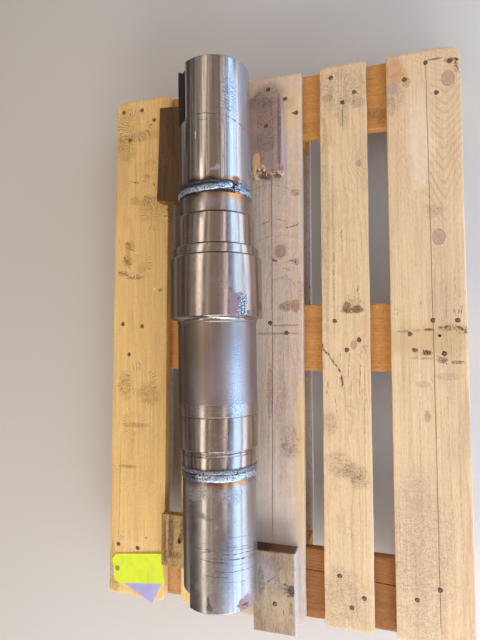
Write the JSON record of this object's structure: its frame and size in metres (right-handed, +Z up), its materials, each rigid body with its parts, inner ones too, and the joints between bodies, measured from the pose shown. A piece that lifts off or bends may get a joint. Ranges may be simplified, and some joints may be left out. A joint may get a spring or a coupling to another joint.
{
  "type": "steam turbine rotor shaft",
  "caption": "Bare stepped steel rotor shaft with welded end barrels and a keyway, lying on a timber pallet between loose timber chocks, with a blank shipping tag.",
  "frame": {"origin": "middle of the footprint, on the floor under the pallet's middle skid", "axes": "+Z up, +Y along the pallet towards the shaft's keyed end, +X across the pallet"},
  "size_m": [0.8, 1.216, 0.3332],
  "materials": {
    "ground_steel": "turned and ground, with axial streaks, haze and light scratches",
    "weld_steel": "bare weld bead, silver blue, with straw and blue heat tint beside it",
    "deck_wood": "rough sawn softwood, dusty, with knots, cracks and nail heads",
    "bearer_wood": "rough sawn softwood, orange brown",
    "chock_wood": "weathered offcuts, grey brown, stained",
    "tag_card": "yellow green shipping card, blank",
    "slip_paper": "lilac paper slip, blank"
  },
  "bodies": {
    "root": {"rotor_shaft": "ground_steel", "end_barrel_near": "ground_steel", "end_barrel_far": "ground_steel", "weld_near": "weld_steel", "weld_far": "weld_steel", "deck_board_left": "deck_wood", "deck_board_left_inner": "deck_wood", "deck_board_middle": "deck_wood", "deck_board_right_inner": "deck_wood", "deck_board_right": "deck_wood", "cross_board_near": "bearer_wood", "cross_board_middle": "bearer_wood", "cross_board_far": "bearer_wood", "block_near_left": "bearer_wood", "block_near_middle": "bearer_wood", "block_near_right": "bearer_wood", "block_middle_left": "bearer_wood", "block_middle_middle": "bearer_wood", "block_middle_right": "bearer_wood", "block_far_left": "bearer_wood", "block_far_middle": "bearer_wood", "block_far_right": "bearer_wood", "skid_left": "bearer_wood", "skid_middle": "bearer_wood", "skid_right": "bearer_wood", "chock_far_left": "chock_wood", "chock_far_right": "chock_wood", "chock_near_left": "chock_wood", "chock_near_right": "chock_wood", "tag_card": "tag_card", "tag_slip": "slip_paper"}
  },
  "joints": []
}
